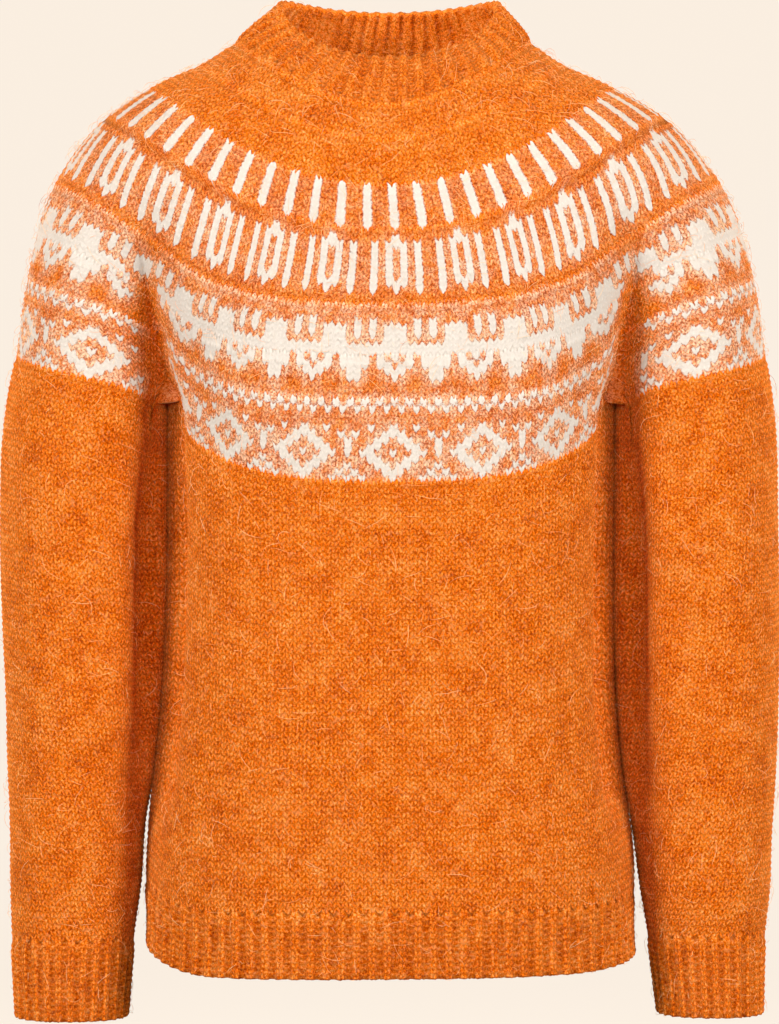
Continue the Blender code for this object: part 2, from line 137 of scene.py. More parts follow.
def read_form(form, closed, across, down):
    """Points of a form's grid, read on smooth curves at shares of the way across it and down it."""
    rows, columns = form.shape[:2]
    spans = columns if closed else columns - 1
    if closed:
        wide = np.concatenate([form[:, -1:], form, form[:, :2]], axis=1)
        across = across % 1.0
    else:
        before, after = 2 * form[:, :1] - form[:, 1:2], 2 * form[:, -1:] - form[:, -2:-1]
        wide = np.concatenate([before, form, after], axis=1)
    grid = np.concatenate([2 * wide[:1] - wide[1:2], wide, 2 * wide[-1:] - wide[-2:-1]])
    x = across * spans
    y = down * (rows - 1)
    column = np.clip(np.floor(x).astype(int), 0, spans - 1)
    row = np.clip(np.floor(y).astype(int), 0, rows - 2)
    by_column = cubic_weights(x - column)
    by_row = cubic_weights(y - row)
    point = np.zeros(np.shape(across) + (3,))
    for j in range(4):
        for i in range(4):
            point += (by_row[j] * by_column[i])[..., None] * grid[row + j, column + i]
    return point


def unit(vectors):
    return vectors / np.maximum(np.linalg.norm(vectors, axis=-1, keepdims=True), 1e-12)


NEARBY = 0.002


def points_and_normals(form, closed, across, down):
    """Where the form's surface is at each place, and which way it faces there."""
    along = read_form(form, closed, across + NEARBY, down) - read_form(form, closed, across - NEARBY, down)
    below = read_form(form, closed, across, down + NEARBY) - read_form(form, closed, across, down - NEARBY)
    return read_form(form, closed, across, down), unit(np.cross(below, along))


def show(name, data):
    """Puts a mesh, curve, lamp or camera in the scene as an object at the origin."""
    shown = bpy.data.objects.new(name, data)
    bpy.context.scene.collection.objects.link(shown)
    return shown


def flat_knitting(stitches, rows, lining_cells, closed):
    """A flat double layer, its outside at height 0 and its lining at -1, joined along its open edges."""
    bm = bmesh.new()
    cells_across, cells_down = 4 * stitches, 2 * rows
    bmesh.ops.create_grid(bm, x_segments=cells_across, y_segments=cells_down, size=0.5)
    cells_across, cells_down = cells_across // lining_cells, cells_down // lining_cells
    under = Matrix.Translation((0, 0, -1))
    lining = bmesh.ops.create_grid(
        bm, x_segments=cells_across, y_segments=cells_down, size=0.5, matrix=under
    )
    bmesh.ops.reverse_faces(bm, faces=list({face for vert in lining["verts"] for face in vert.link_faces}))
    rim = [edge for edge in bm.edges if edge.is_boundary]
    if closed:
        for end in (0.5, -0.5):
            round_edge = [edge for edge in rim if all(abs(vert.co.y - end) < 1e-4 for vert in edge.verts)]
            bmesh.ops.bridge_loops(bm, edges=round_edge)
    else:
        bmesh.ops.bridge_loops(bm, edges=rim)
    return bm


def stitch_relief(across, down, is_ribbed):
    """How high a stitch's two slanting legs stand, from 0 in the grooves to 1, and how high its rib is."""
    leg = LEG_EDGE + (1 - LEG_EDGE) * np.abs(np.sin(2 * math.pi * across))
    round_leg = ROW_EDGE + (1 - ROW_EDGE) * np.abs(np.sin(math.pi * down))
    if not is_ribbed:
        return leg * round_leg, np.ones_like(across)
    rib = (1 + np.cos(math.pi * (across - 0.5))) / 2
    rib = rib * rib * (3 - 2 * rib)
    purl_bar = np.abs(np.sin(math.pi * (down + 0.5)))
    return rib * leg * round_leg + (1 - rib) * purl_bar, rib


def knit(name, form, closed, place, stitches, rows, cloth, lining_cells, ribbed=False,
         top_edge="tucked", low_edge="toothed", chart=None, mist=0.0, drape=None, tapers=False, seed=1):
    """Knits one piece onto its form. Place turns stitches and rows into shares across and down the form.

    An edge that is tucked runs under its neighbour, a toothed one ends in whole stitches, and a bound one
    ends level.
    """
    bm = flat_knitting(stitches, rows, lining_cells, closed)
    mesh = bpy.data.meshes.new(name)
    bm.to_mesh(mesh)
    bm.free()
    flat = np.zeros(len(mesh.vertices) * 3, np.float32)
    mesh.vertices.foreach_get("co", flat)
    flat = flat.reshape(-1, 3).astype(float)
    across = np.rint((flat[:, 0] + 0.5) * stitches * 4) / 4
    down = np.rint((0.5 - flat[:, 1]) * rows * 2) / 2
    is_lining = flat[:, 2] < -0.5

    corner = np.zeros(len(mesh.loops), np.int32)
    mesh.loops.foreach_get("vertex_index", corner)
    layout = mesh.uv_layers.new(name="stitches")
    layout.data.foreach_set("uv", np.stack([across, down], axis=1)[corner].astype(np.float32).ravel())

    uneven = np.random.default_rng(seed).normal(0, UNEVEN, (3, 2 * rows + 1, 4 * stitches + 1))
    uneven[:, :, -1] = uneven[:, :, 0]
    uneven = uneven[:, np.rint(2 * down).astype(int), np.rint(4 * across).astype(int)]
    from_top = down
    from_low = rows - down
    loft_and_shade, rib = stitch_relief(across, down, ribbed)
    slant = STITCH_SLANT * (0.5 - np.abs(2 * (across % 1.0) - 1)) * rib
    if top_edge == "bound":
        slant = slant * np.clip(from_top, 0, 1)
    if low_edge == "bound":
        slant = slant * np.clip(from_low, 0, 1)
    height = STITCH_LOFT * loft_and_shade * (1 + uneven[2])
    moved_across = across + np.where(is_lining, 0, UNEVEN_ACROSS * uneven[0])
    moved_down = down + np.where(is_lining, 0, slant + UNEVEN_DOWN * uneven[1])
    if ribbed:
        rise = RIB_HEIGHT * np.clip((from_top if top_edge == "tucked" else from_low + 2) / 2.5, 0, 1)
        rise = rise * np.clip((from_low if low_edge == "toothed" else 2) / 2.0, 0.2, 1)
        softened = PURL_LOFT + (1 - PURL_LOFT) * rib
        height = height * softened + rise * (rib - RIB_SUNK)
        inner_loft, inner_rib = stitch_relief(across + 1, down, True)
        inner_loft = inner_loft * (PURL_LOFT + (1 - PURL_LOFT) * inner_rib)
        inner = -cloth - rise * (inner_rib - RIB_SUNK) - STITCH_LOFT * inner_loft
        height = np.where(is_lining, inner, height)
        # The loft is also the amount of painted shade: the purl columns are painted darker, and the inside
        # of the rib is painted lighter than its relief would give.
        loft_and_shade = np.where(is_lining, 0.5 + 0.7 * inner_loft, loft_and_shade * softened)
    else:
        height = np.where(is_lining, -cloth, height)
    if top_edge == "tucked":
        tuck = np.clip(1 - from_top, 0, 1)
        moved_down = moved_down - TUCK_ROWS * tuck
        height = height * (1 - 0.5 * tuck) - TUCK_DEPTH * tuck
    if closed:
        moved_across = np.where((across == 0) | (across == stitches), across, moved_across)
    else:
        side = np.clip(1 - np.minimum(across, stitches - across), 0, 1)
        height = np.where(is_lining, height, height - TUCK_DEPTH * side)

    share, fall = place(across, down)
    moved_share, moved_fall = place(moved_across, moved_down)
    decreased = tapers & ((share <= 0) | (share >= 1))
    share = np.where(decreased, share, moved_share)
    fall = np.where(decreased, fall, moved_fall)
    height = np.where(decreased & ~is_lining, 0.0, height)
    points, normals = points_and_normals(form, closed, share, fall)
    if drape is not None:
        height = height + drape(points)
    points = points + normals * height[:, None]
    mesh.vertices.foreach_set("co", points.astype(np.float32).ravel())
    # The loft is stored for the wool's painted shade. A plain piece's lining gets one even painted shade.
    loft_and_shade = loft_and_shade if ribbed else np.where(is_lining, LINING_PAINTED_SHADE, loft_and_shade)
    mesh.attributes.new("loft_and_shade", "FLOAT", "POINT").data.foreach_set("value", loft_and_shade.astype(np.float32))

    bm = bmesh.new()
    bm.from_mesh(mesh)
    bmesh.ops.remove_doubles(bm, verts=bm.verts, dist=SAME_PLACE)
    bmesh.ops.triangulate(bm, faces=bm.faces, quad_method="SHORT_EDGE")
    bm.to_mesh(mesh)
    bm.free()
    if chart is not None:
        mark_colours(mesh, chart, mist)
    mesh.shade_smooth()
    return show(name, mesh)


def mark_colours(mesh, chart, mist):
    """Marks each point with how much white yarn meets there, and how much white fibre drifts over it."""
    rows, stitches = chart.shape
    corners = np.zeros(len(mesh.loops) * 2, np.float32)
    mesh.uv_layers["stitches"].data.foreach_get("uv", corners)
    middle = corners.reshape(-1, 3, 2).mean(axis=1)
    stitch = np.clip(middle[:, 0].astype(int), 0, stitches - 1)
    row = np.clip(middle[:, 1].astype(int), 0, rows - 1)
    near = sum(np.roll(np.roll(chart, i, axis=1), j, axis=0) for i in (-1, 0, 1) for j in (-1, 0, 1)) / 9
    near = (near + np.roll(near, 1, axis=0) + np.roll(near, -1, axis=0)) / 3
    point = np.zeros(len(mesh.loops), np.int32)
    mesh.loops.foreach_get("vertex_index", point)
    faces_at = np.maximum(np.bincount(point, minlength=len(mesh.vertices)), 1)
    for label, values in (("white", chart), ("haze", near * mist)):
        met = np.bincount(point, weights=np.repeat(values[row, stitch], 3), minlength=len(mesh.vertices))
        spread = (met / faces_at).astype(np.float32)
        mesh.attributes.new(label, "FLOAT", "POINT").data.foreach_set("value", spread)


def add_node(tree, kind, inputs=None, **settings):
    """Adds a shader node. An input takes a value, or the output of another node."""
    made = tree.nodes.new(kind)
    for setting, value in settings.items():
        setattr(made, setting, value)
    for socket, value in (inputs or {}).items():
        if isinstance(value, bpy.types.NodeSocket):
            tree.links.new(value, made.inputs[socket])
        else:
            made.inputs[socket].default_value = value
    return made


def ramp(tree, share, *stops):
    """A colour ramp, its stops given as places and colours."""
    made = add_node(tree, "ShaderNodeValToRGB", {"Fac": share})
    elements = made.color_ramp.elements
    for number, (place, colour) in enumerate(stops):
        element = elements[number] if number < 2 else elements.new(place)
        element.position = place
        element.color = colour
    return made.outputs["Color"]


def blend_colours(tree, share, first, second, mode="MIX"):
    made = add_node(tree, "ShaderNodeMix", data_type="RGBA", blend_type=mode)
    for number, value in ((0, share), (6, first), (7, second)):
        if isinstance(value, bpy.types.NodeSocket):
            tree.links.new(value, made.inputs[number])
        else:
            made.inputs[number].default_value = value
    return made.outputs[2]


def scaled(tree, value, low, high, to_low, to_high):
    inputs = {"Value": value, "From Min": low, "From Max": high, "To Min": to_low, "To Max": to_high}
    return add_node(tree, "ShaderNodeMapRange", inputs).outputs["Result"]


def calculated(tree, operation, first, second=0.0, third=0.0):
    inputs = {0: first, 1: second, 2: third}
    return add_node(tree, "ShaderNodeMath", inputs, operation=operation).outputs[0]


def grain(tree, where, scale, detail=2.0, roughness=0.5, distortion=0.0):
    inputs = {"Vector": where, "Scale": scale, "Detail": detail}
    inputs.update({"Roughness": roughness, "Distortion": distortion})
    return add_node(tree, "ShaderNodeTexNoise", inputs).outputs["Fac"]


def new_shader(name, settings):
    """A new material, its node tree and its shader, with the numbers that are the same all over it."""
    material = bpy.data.materials.new(name)
    material.use_nodes = True
    shader = material.node_tree.nodes["Principled BSDF"]
    for socket, value in settings.items():
        shader.inputs[socket].default_value = value
    return material, material.node_tree, shader


def attribute(tree, name):
    return add_node(tree, "ShaderNodeAttribute", attribute_name=name).outputs["Fac"]


WOOL_DEEP = (0.36, 0.034, 0.0005, 1.0)
WOOL_MAIN = (0.78, 0.125, 0.002, 1.0)
WOOL_LIGHT = (1.0, 0.243, 0.013, 1.0)
WOOL_PALE = (1.0, 0.46, 0.16, 1.0)
WOOL_SALMON = (1.0, 0.32, 0.095, 1.0)
WHITE_YARN = (0.73, 0.655, 0.58, 1.0)
WHITE_SHADE = (0.67, 0.57, 0.46, 1.0)
WHITE_DRIFT = (1.0, 0.66, 0.44, 1.0)
WOOL_SURFACE = {
    "Roughness": 0.93,
    "Specular IOR Level": 0.0,
    "Sheen Weight": 0.40,
    "Sheen Roughness": 0.4,
    "Sheen Tint": (1.0, 0.44, 0.12, 1.0),
}
FIBRE_SURFACE = {"Roughness": 0.7, "Specular IOR Level": 0.1}


def wool(name, pale=0.0, has_pattern=False):
    """Brushed wool, heathered along the yarn, with painted shade in its grooves. Pale adds pale fibres, a
    pattern adds white yarn.
    """
    material, tree, shader = new_shader(name, WOOL_SURFACE)
    at = add_node(tree, "ShaderNodeTexCoord").outputs["Object"]
    layout = add_node(tree, "ShaderNodeUVMap", uv_map="stitches").outputs["UV"]
    stretched = {"Vector": layout, "Scale": (2.2, 8.0, 1.0)}
    along_yarn = add_node(tree, "ShaderNodeMapping", stretched).outputs["Vector"]

    plies = grain(tree, along_yarn, 1.0, 4.0, 0.7)
    speckle = grain(tree, at, 640.0, 2.0, 0.8)
    flecks = grain(tree, at, 210.0, 2.0, 0.6)
    patches = grain(tree, at, 55.0, 3.0, 0.6)
    mixed = calculated(tree, "MULTIPLY", plies, 0.30)
    mixed = calculated(tree, "MULTIPLY_ADD", speckle, 0.52, mixed)
    mixed = calculated(tree, "MULTIPLY_ADD", patches, 0.18, mixed)
    stops = ((0.40, WOOL_DEEP), (0.48, WOOL_MAIN), (0.55, WOOL_LIGHT), (0.62, WOOL_PALE))
    heather = ramp(tree, mixed, *stops)
    heather = blend_colours(tree, scaled(tree, flecks, 0.60, 0.68, 0.0, 0.5), heather, WOOL_SALMON)

    hairs = calculated(tree, "MAXIMUM", hair_lines(tree, at, 85.0, 0.012, 2.2, 0.45 + pale),
                       hair_lines(tree, at, 190.0, 0.022, 1.6, 0.30 + pale))
    heather = blend_colours(tree, hairs, heather, WOOL_PALE)
    yarn = heather
    # Painted shade: the colour is darkened where the stitch's loft is low, in the grooves between legs and
    # rows and in the rib's purl columns, and a little lightened on the highest legs.
    painted_groove_shade = scaled(tree, attribute(tree, "loft_and_shade"), 0.05, 0.80, 0.52, 1.06)
    if has_pattern:
        clouds = grain(tree, at, 130.0, 3.0, 0.7)
        clouds = scaled(tree, clouds, 0.40, 0.60, 0.3, 1.6)
        cover = calculated(tree, "MULTIPLY", clouds, attribute(tree, "haze"))
        cover = calculated(tree, "MULTIPLY", cover, scaled(tree, speckle, 0.40, 0.58, 0.25, 1.9))
        heather = blend_colours(tree, calculated(tree, "MINIMUM", cover, 0.85), heather, WHITE_DRIFT)
        white = ramp(tree, plies, (0.3, WHITE_SHADE), (0.5, WHITE_YARN))
        ragged = calculated(tree, "SUBTRACT", speckle, 0.5)
        edge = calculated(tree, "MULTIPLY_ADD", ragged, 1.1, attribute(tree, "white"))
        is_white = scaled(tree, edge, 0.34, 0.62, 0.0, 1.0)
        yarn = blend_colours(tree, is_white, heather, white)
        # The white yarn gets almost none of the painted shade.
        painted_groove_shade = calculated(tree, "MAXIMUM", painted_groove_shade, calculated(tree, "MULTIPLY", is_white, 0.95))
    channels = {"Red": painted_groove_shade, "Green": painted_groove_shade, "Blue": painted_groove_shade}
    painted_shade_grey = add_node(tree, "ShaderNodeCombineColor", channels).outputs["Color"]
    colour = blend_colours(tree, 1.0, yarn, painted_shade_grey, "MULTIPLY")
    tree.links.new(colour, shader.inputs["Base Color"])

    fuzz = calculated(tree, "MULTIPLY_ADD", hairs, 0.5, plies)
    fuzz = calculated(tree, "MULTIPLY_ADD", speckle, 0.8, fuzz)
    bump = add_node(tree, "ShaderNodeBump", {"Height": fuzz, "Distance": 0.0009, "Strength": 0.7})
    tree.links.new(bump.outputs["Normal"], shader.inputs["Normal"])
    return material


def hair_lines(tree, at, scale, width, distortion, strength):
    """Thin winding lines, as of single hairs lying on the wool."""
    level = calculated(tree, "SUBTRACT", grain(tree, at, scale, 1.0, 0.5, distortion), 0.5)
    line = scaled(tree, calculated(tree, "ABSOLUTE", level), 0.0, width, 1.0, 0.0)
    return calculated(tree, "MULTIPLY", line, strength)


def flat_size(form, closed):
    """The width and length that a form's cloth has when it is laid flat, and its area."""
    ring = np.concatenate([form, form[:, :1]], axis=1) if closed else form
    widths = np.linalg.norm(np.diff(ring, axis=1), axis=2).sum(axis=1)
    steps = np.linalg.norm(np.diff(form, axis=0), axis=2).mean(axis=1)
    area = float(((widths[1:] + widths[:-1]) / 2 * steps).sum())
    return (float(widths.max()), float(steps.sum())), area


STRAND_POINTS = 5
STRAND_RADIUS = 0.00012
STRAND_LENGTHS = (0.004, 0.026)
STRAND_LIFT = 0.0042
STRAND_ROOT = 0.0004
STRAND_CLEAR = 0.001
FIBRES_ON_PLAIN = 3600


def raise_fluff(name, form, closed, count, drape, seed):
    """Raises loose wool fibres from a form: thin curved strands that each start in the cloth."""
    rng = np.random.default_rng(seed)
    near = 2 * NEARBY
    across = rng.uniform(0.0, 1.0, count)
    down = rng.uniform(0.0, 1.0, count)
    heading = rng.uniform(0.0, 2 * math.pi, count)
    bend = rng.normal(0.0, 0.19, count)
    shortest, longest = STRAND_LENGTHS
    length = shortest + (longest - shortest) * rng.uniform(0.0, 1.0, count) ** 1.8
    arch = STRAND_LIFT * rng.uniform(0.1, 1.0, count) * np.clip(length / 0.02, 0.4, 1.0)
    tip = STRAND_LIFT * 0.8 * rng.uniform(0.0, 1.0, count) ** 2
    strands = []
    for number in range(STRAND_POINTS):
        share = number / (STRAND_POINTS - 1)
        points, normals = points_and_normals(form, closed, across, down)
        height = STRAND_ROOT + arch * math.sin(math.pi * share) ** 0.8 + tip * share
        height = height + STRAND_CLEAR * (number > 0)
        if drape is not None:
            height = height + drape(points)
        strands.append(points + normals * height[:, None])
        wide = np.linalg.norm(read_form(form, closed, across + near, down) - points, axis=1) / near
        tall = np.linalg.norm(read_form(form, closed, across, down + near) - points, axis=1) / near
        across = across + np.cos(heading) * length / STRAND_POINTS / np.maximum(wide, 0.02)
        down = np.clip(down + np.sin(heading) * length / STRAND_POINTS / np.maximum(tall, 0.02), 0.0, 1.0)
        across = across if closed else np.clip(across, 0.0, 1.0)
        heading = heading + bend + rng.normal(0.0, 0.15, count)
    strands = np.stack(strands, axis=1)

    curve = bpy.data.curves.new(name, "CURVE")
    curve.dimensions = "3D"
    curve.bevel_depth = STRAND_RADIUS
    curve.bevel_resolution = 0
    curve.use_fill_caps = True
    taper = 1.0 - 0.5 * np.abs(np.linspace(-1.0, 1.0, STRAND_POINTS)) ** 2
    for strand in strands:
        spline = curve.splines.new("POLY")
        spline.points.add(STRAND_POINTS - 1)
        spline.points.foreach_set("co", np.append(strand, np.ones((STRAND_POINTS, 1)), axis=1).ravel())
        spline.points.foreach_set("radius", taper)
    drawn = show(name + "_drawn", curve)
    shaped = drawn.evaluated_get(bpy.context.evaluated_depsgraph_get())
    fluff = show(name, bpy.data.meshes.new_from_object(shaped))
    bpy.data.objects.remove(drawn)
    return fluff


def fibre_wool(name, *stops):
    """Loose fibres, each paler or darker than the next."""
    material, tree, shader = new_shader(name, FIBRE_SURFACE)
    at = add_node(tree, "ShaderNodeTexCoord").outputs["Object"]
    tree.links.new(ramp(tree, grain(tree, at, 45.0, 2.0, 0.7), *stops), shader.inputs["Base Color"])
    return material


def finish_knitting(piece, material, nodes, form, closed, drape=None,
                    fibres=FIBRES_ON_PLAIN, seed=1):
    """Dresses a knitted piece, raises its fluff and sets both on the frame.

    Fibres are counted to the square metre.
    """
    piece.data.materials.append(material)
    size, area = flat_size(form, closed)
    name = piece.name.replace("_knit", "_fluff")
    raised = raise_fluff(name, form, closed, int(fibres * area), drape, seed)
    raised.data.materials.append(loose_fibres)
    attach(piece, "root")
    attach(raised, "root")
    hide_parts(*nodes)


rib_wool = wool("rib_wool")
loose_fibres = fibre_wool(
    "loose_fibres",
    (0.33, (0.40, 0.06, 0.004, 1.0)),
    (0.37, (1.0, 0.36, 0.09, 1.0)),
    (0.60, (1.0, 0.62, 0.30, 1.0)),
)
collar_turns = np.arange(COLLAR_STITCHES) / COLLAR_STITCHES
collar_form = np.array([collar_ring(path, collar_turns) for path in np.linspace(0.0, 1.0, 7)])


def place_collar(across, down):
    return (across - COLLAR_STITCHES / 2 - 0.5) / COLLAR_STITCHES, down / COLLAR_ROWS


collar = knit(
    "collar_knit", collar_form, True, place_collar, COLLAR_STITCHES, COLLAR_ROWS, RIB_CLOTH,
    COLLAR_LINING, ribbed=True, top_edge="bound", seed=11,
)
finish_knitting(collar, rib_wool, ["collar"], collar_form, True, seed=12)


# The yoke: stranded knitting in the round, which widens band by band from the neck to the chest and the
# upper arms. Orange and white yarn are worked together, so white fibres lie over the orange beside it.
CLOTH = 0.003
YOKE_RINGS = 41
ARC_STEPS = 40
YOKE_LINING = 4
FIBRES_ON_YOKE = 8000

CREASE_Y = 0.040
CREASE_LEVEL = -0.252
CREASE_FLAT = 0.06
BODY_FULLNESS = 2.75
SLEEVE_FULLNESS = 2.25
FRONT_SAG_POWER = 3.0
LOBE_DROP = 0.036
LOBE_DROP_POWER = 1.15
LOBE_EDGE = 0.2
LOBE_FROM = 0.42
LOBE_DEPTH = 0.072
LOBE_TUCK = 0.007
LOBE_PULL = 0.2

YokeRow = namedtuple(
    "YokeRow", "path middle_x half_width side_z front_y front_z back_y back_z fullness crease chest"
)
YOKE = (
    YokeRow(0.0, -0.0060, 0.112, 0.021, 0.0980, -0.038, 0.085, 0.012, 2.05, 0.50, 0.200),
    YokeRow(0.1, -0.0070, 0.137, 0.0045, 0.1090, -0.064, 0.097, -0.011, 2.08, 0.54, 0.200),
    YokeRow(0.2, -0.0070, 0.165, -0.008, 0.1170, -0.090, 0.107, -0.036, 2.10, 0.57, 0.196),
    YokeRow(0.4, -0.0040, 0.218, -0.042, 0.1230, -0.145, 0.117, -0.096, 2.20, 0.61, 0.188),
    YokeRow(0.6, -0.0025, 0.256, -0.094, 0.1255, -0.201, 0.120, -0.158, 2.25, 0.59, 0.180),
    YokeRow(0.8, -0.0010, 0.274, -0.155, 0.1260, -0.256, 0.118, -0.221, 2.30, 0.55, 0.174),
    YokeRow(1.0, 0.0, 0.283, -0.214, 0.1250, -0.312, 0.115, -0.285, 2.30, 0.53, 0.169),
)

# A chart is read from its top row down, and its first column is the middle of the front. A # is white.
BARS = ("#..",) * 7
LINKS = (
    "#........",
    "##.#..#.#",
    ".#.#..#.#",
    ".#.#..#.#",
    ".#.#..#.#",
    ".#.#..#.#",
    ".#.#..#.#",
    "##.#..#.#",
    "#..#..#..",
)
GATES = (
    "...#.#..",
    "##.#.#.#",
    "##.#.#.#",
    "##.....#",
    "########",
    "########",
)
HEARTS = (
    "#.#.####.#.",
    ".##.####.##",
    "##...##...#",
    "#....##....",
)
DOTS = (
    "#.",
    ".#",
)
DIAMONDS = (
    "#..#.....#..",
    "##...#.#...#",
    ".##...#...##",
    "..##..#..##.",
    "#..##.#.##..",
    "..##.....##.",
    ".##...#...##",
    "##...#.#...#",
    "#...#.#.#...",
)

# Mist is how much white fibre drifts over a band. The round's middle leans a little to the viewer's right
# towards the neck, by a share of a turn at each path.
Band = namedtuple("Band", "name stitches rows mist charts")
UPPER_BANDS = (
    Band("neck", 128, 6, 0.0, ()),
    Band("shoulder", 144, 8, 0.0, ()),
    Band("bars", 159, 7, 0.25, ((0, BARS),)),
    Band("links", 216, 12, 0.45, ((1, LINKS),)),
)
LOWER_BANDS = (
    Band("gates", 240, 8, 1.0, ((2, GATES),)),
    Band("hearts", 253, 7, 1.5, ((0, HEARTS),)),
    Band("diamonds", 264, 13, 1.2, ((0, DOTS), (4, DIAMONDS))),
)
LEAN_PATHS = (0.0, 0.3, 0.44, 0.6, 0.7, 0.93, 1.0)
LEAN = (0.0078, 0.0076, 0.0067, 0.0038, 0.0027, 0.0009, 0.0006)
PLAIN_ON_SLEEVE = 0.075
PLAIN_ON_BODY = 0.03
PLAIN_FROM_PATH = 0.64

# The rounds sag between the middle and the armpits, and their stitches crowd towards the armpit creases, by
# these shares of the way down and of a turn.
SAG_PATHS = (0.0, 0.23, 0.344, 0.361, 0.44, 0.6, 0.8, 0.92, 1.0)
SAG = (0.0, 0.028, 0.036, 0.046, 0.066, 0.062, 0.034, 0.005, 0.0)
SAG_TURNS = (0.0, 0.04, 0.08, 0.125, 0.17, 0.21, 0.25)
SAG_SHARES = (0.0, 0.23, 0.71, 1.0, 0.85, 0.6, 0.5)
CROWD_TURNS = (0.0, 0.04, 0.08, 0.12, 0.16, 0.20, 0.25, 0.35, 0.5)
CROWD_PATHS = (0.0, 0.23, 0.344, 0.361, 0.5, 0.6, 0.8, 1.0)
CROWD = (
    (0.0, 0.0, 0.0, 0.0, 0.0, 0.0, 0.0, 0.0, 0.0),
    (0.0, 0.0, 0.0025, 0.0060, 0.0080, 0.0090, 0.0080, 0.0040, 0.0),
    (0.0, 0.0, 0.0025, 0.0060, 0.0080, 0.0090, 0.0080, 0.0040, 0.0),
    (0.0, 0.0, 0.0055, 0.0150, 0.0200, 0.0210, 0.0180, 0.0100, 0.0),
    (0.0, 0.0, 0.0065, 0.0185, 0.0240, 0.0240, 0.0210, 0.0120, 0.0),
    (0.0, 0.0, 0.0030, 0.0150, 0.0190, 0.0140, 0.0100, 0.0050, 0.0),
    (0.0, 0.0020, 0.0075, 0.0170, 0.0070, -0.0020, 0.0, 0.0, 0.0),
    (0.0, 0.0025, 0.0090, 0.0170, 0.0060, -0.0020, 0.0, 0.0, 0.0),
)


def ease(share):
    """Runs from 0 to 1 with a level start and a level end."""
    share = np.clip(share, 0.0, 1.0)
    return share * share * (3.0 - 2.0 * share)


def follow(table, column, at):
    """Reads one column of a table, on a smooth curve over the table's first column."""
    places = np.array([row[0] for row in table])
    values = np.array([getattr(row, column) for row in table])
    slopes = np.gradient(values, places)
    at = np.clip(at, places[0], places[-1])
    span = np.clip(np.searchsorted(places, at, side="right") - 1, 0, len(places) - 2)
    width = places[span + 1] - places[span]
    t = (at - places[span]) / width
    rise = values[span] * (1 + 2 * t) * (1 - t) ** 2 + values[span + 1] * t * t * (3 - 2 * t)
    lean = slopes[span] * t * (1 - t) ** 2 - slopes[span + 1] * t * t * (1 - t)
    return rise + width * lean


def crease_share():
    """The share of the body's front quarter section that lies between its middle and the armpit crease."""
    shares = np.linspace(0.0, 1.0, ARC_SAMPLES)
    _, y = quarter_arc(YOKE[-1].chest, YOKE[-1].front_y, BODY_FULLNESS, shares)
    return float(np.interp(-CREASE_Y, -y, shares))


BODY_CREASE = crease_share()
CREASE_ANGLE = math.asin((CREASE_Y / LOBE_DEPTH) ** (SLEEVE_FULLNESS / 2))


def oval(angle):
    """A full oval's shares of its half width and half depth, at an angle from the side by the body."""
    power = 2.0 / SLEEVE_FULLNESS
    across = np.sign(np.cos(angle)) * np.abs(np.cos(angle)) ** power
    along = np.sign(np.sin(angle)) * np.abs(np.sin(angle)) ** power
    return across, along


def lobe_arc(row, t):
    """The sleeve's part of a divided ring, from the front crease round to the back crease."""
    across, along = oval(CREASE_ANGLE + t * (2 * math.pi - 2 * CREASE_ANGLE))
    inner = row.chest - LOBE_TUCK
    x = (row.half_width + inner) / 2 - across * (row.half_width - inner) / 2
    y = -along * LOBE_DEPTH
    front_x, front = quarter_arc(row.chest, row.front_y, BODY_FULLNESS, BODY_CREASE)
    back_x, back = quarter_arc(row.chest, row.back_y, BODY_FULLNESS, BODY_CREASE)
    pull_front = np.clip(1 - t / LOBE_PULL, 0, 1) ** 2
    pull_back = np.clip(1 - (1 - t) / LOBE_PULL, 0, 1) ** 2
    x = x + pull_front * (front_x - x[0]) + pull_back * (back_x - x[-1])
    y = y + pull_front * (-front - y[0]) + pull_back * (back - y[-1])
    return x, y


def lobe_height(row, t):
    """How high the sleeve's part of a divided ring lies, from crease to crease."""
    off = np.clip(np.abs(2 * t - 1) / (1.0 - CREASE_FLAT), 0.0, 1.0)
    crease_z = CREASE_LEVEL + (row.side_z - YOKE[-1].side_z)
    lobe = row.side_z - LOBE_DROP * off**LOBE_DROP_POWER
    return lobe + (crease_z - row.side_z + LOBE_DROP) * ease(1.0 - (1.0 - off) / LOBE_EDGE)


def chest_height(row, middle_z, share):
    """How high the front or back part of a divided ring lies, at shares from its middle to the crease."""
    off = np.clip(np.abs(share) / (1.0 - CREASE_FLAT), 0.0, 1.0)
    crease_z = CREASE_LEVEL + (row.side_z - YOKE[-1].side_z)
    return crease_z + (middle_z - crease_z) * (1.0 - off**FRONT_SAG_POWER)


def divided_ring(row, t):
    """A ring of the yoke where it has fully divided into front, sleeve, back and sleeve."""
    off = 2 * t - 1
    front_x, front = quarter_arc(row.chest, row.front_y, BODY_FULLNESS, np.abs(off) * BODY_CREASE)
    back_x, back = quarter_arc(row.chest, row.back_y, BODY_FULLNESS, np.abs(off) * BODY_CREASE)
    lobe_x, lobe_y = lobe_arc(row, t)
    lobe_z = lobe_height(row, t)
    arcs = (
        (np.sign(off) * front_x, -front, chest_height(row, row.front_z, off)),
        (lobe_x, lobe_y, lobe_z),
        (-np.sign(off) * back_x, back, chest_height(row, row.back_z, off)),
        (-lobe_x[::-1], lobe_y[::-1], lobe_z[::-1]),
    )
    return np.concatenate([np.stack(arc, axis=1)[:-1] for arc in arcs])


